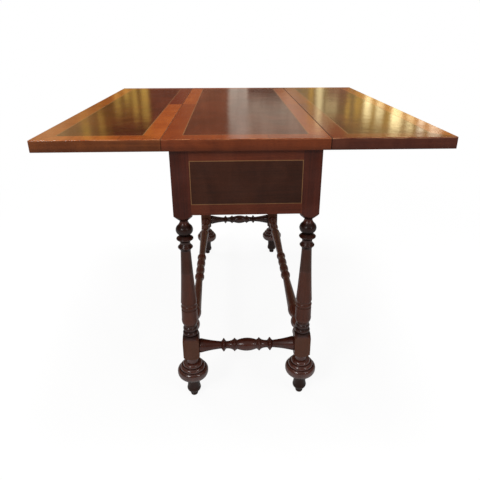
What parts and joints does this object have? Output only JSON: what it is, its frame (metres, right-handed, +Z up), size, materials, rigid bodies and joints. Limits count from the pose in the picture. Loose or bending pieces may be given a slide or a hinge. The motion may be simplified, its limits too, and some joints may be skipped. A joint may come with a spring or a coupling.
{
  "type": "drop-leaf table",
  "caption": "Long narrow mahogany table with hinged leaves, fly brackets in its side rails, turned legs on bun feet and turned stretchers.",
  "frame": {"origin": "on the floor, under the middle of the top", "axes": "+Z up, +Y along the hinge joints towards the rear end, +X across the leaves to the right"},
  "size_m": [0.9496, 1.0234, 0.75],
  "materials": {
    "frame_mahogany": "dark red-brown varnish, glossy",
    "top_mahogany": "red-brown varnish, glossy",
    "field_veneer": "dark figured veneer, polished",
    "crossbanding": "orange-red crosscut veneer, polished",
    "stringing": "pale fine string, polished",
    "inner_wood": "stained hardwood, dull",
    "iron": "wrought rod, dull",
    "brass": "old brass, worn",
    "screw_steel": "dull steel"
  },
  "bodies": {
    "frame": {"banding_centre": "crossbanding", "bearer_front": "inner_wood", "bearer_rear": "inner_wood", "end_apron_front": "frame_mahogany", "end_apron_rear": "frame_mahogany", "end_field_front": "field_veneer", "end_field_rear": "field_veneer", "end_stringing_front": "stringing", "end_stringing_rear": "stringing", "field_centre": "field_veneer", "fly_pin_front_left": "iron", "fly_pin_front_right": "iron", "fly_pin_rear_left": "iron", "fly_pin_rear_right": "iron", "fly_rail_end_front_left": "inner_wood", "fly_rail_end_front_right": "inner_wood", "fly_rail_end_rear_left": "inner_wood", "fly_rail_end_rear_right": "inner_wood", "fly_rail_left": "inner_wood", "fly_rail_right": "inner_wood", "fly_rail_screws": "screw_steel", "foot_front_left": "frame_mahogany", "foot_front_right": "frame_mahogany", "foot_rear_left": "frame_mahogany", "foot_rear_right": "frame_mahogany", "hinge_pins_left": "brass", "hinge_pins_right": "brass", "hinge_plates_left": "brass", "hinge_plates_right": "brass", "leg_front_left": "frame_mahogany", "leg_front_right": "frame_mahogany", "leg_rear_left": "frame_mahogany", "leg_rear_right": "frame_mahogany", "plate_screws": "screw_steel", "side_apron_left": "inner_wood", "side_apron_right": "inner_wood", "stretcher_front": "frame_mahogany", "stretcher_left": "frame_mahogany", "stretcher_rear": "frame_mahogany", "stretcher_right": "frame_mahogany", "stringing_centre": "stringing", "top_centre": "top_mahogany", "top_screws": "screw_steel"},
    "leaf_left_body": {"banding_left": "crossbanding", "field_left": "field_veneer", "flap_screws_left": "screw_steel", "hinge_flaps_left": "brass", "leaf_left": "top_mahogany", "stringing_left": "stringing"},
    "leaf_right_body": {"banding_right": "crossbanding", "field_right": "field_veneer", "flap_screws_right": "screw_steel", "hinge_flaps_right": "brass", "leaf_right": "top_mahogany", "stringing_right": "stringing"},
    "bracket_front_left": {"fly_bracket_front_left": "inner_wood"},
    "bracket_front_right": {"fly_bracket_front_right": "inner_wood"},
    "bracket_rear_left": {"fly_bracket_rear_left": "inner_wood"},
    "bracket_rear_right": {"fly_bracket_rear_right": "inner_wood"}
  },
  "joints": [
    {"name": "leaf_left_drop", "type": "hinge", "parent": "frame", "child": "leaf_left_body", "pos_m": [-0.1895, 0, 0.7218], "axis": [0, -1, 0], "range_deg": [0, 90]},
    {"name": "leaf_right_drop", "type": "hinge", "parent": "frame", "child": "leaf_right_body", "pos_m": [0.1895, 0, 0.7218], "axis": [0, 1, 0], "range_deg": [0, 90]},
    {"name": "bracket_front_left_swing", "type": "hinge", "parent": "frame", "child": "bracket_front_left", "pos_m": [-0.164, -0.2, 0.644], "axis": [0, 0, 1], "range_deg": [-90, 0]},
    {"name": "bracket_front_right_swing", "type": "hinge", "parent": "frame", "child": "bracket_front_right", "pos_m": [0.164, -0.2, 0.644], "axis": [0, 0, -1], "range_deg": [-90, 0]},
    {"name": "bracket_rear_left_swing", "type": "hinge", "parent": "frame", "child": "bracket_rear_left", "pos_m": [-0.164, 0.2, 0.644], "axis": [0, 0, -1], "range_deg": [-90, 0]},
    {"name": "bracket_rear_right_swing", "type": "hinge", "parent": "frame", "child": "bracket_rear_right", "pos_m": [0.164, 0.2, 0.644], "axis": [0, 0, 1], "range_deg": [-90, 0]}
  ]
}
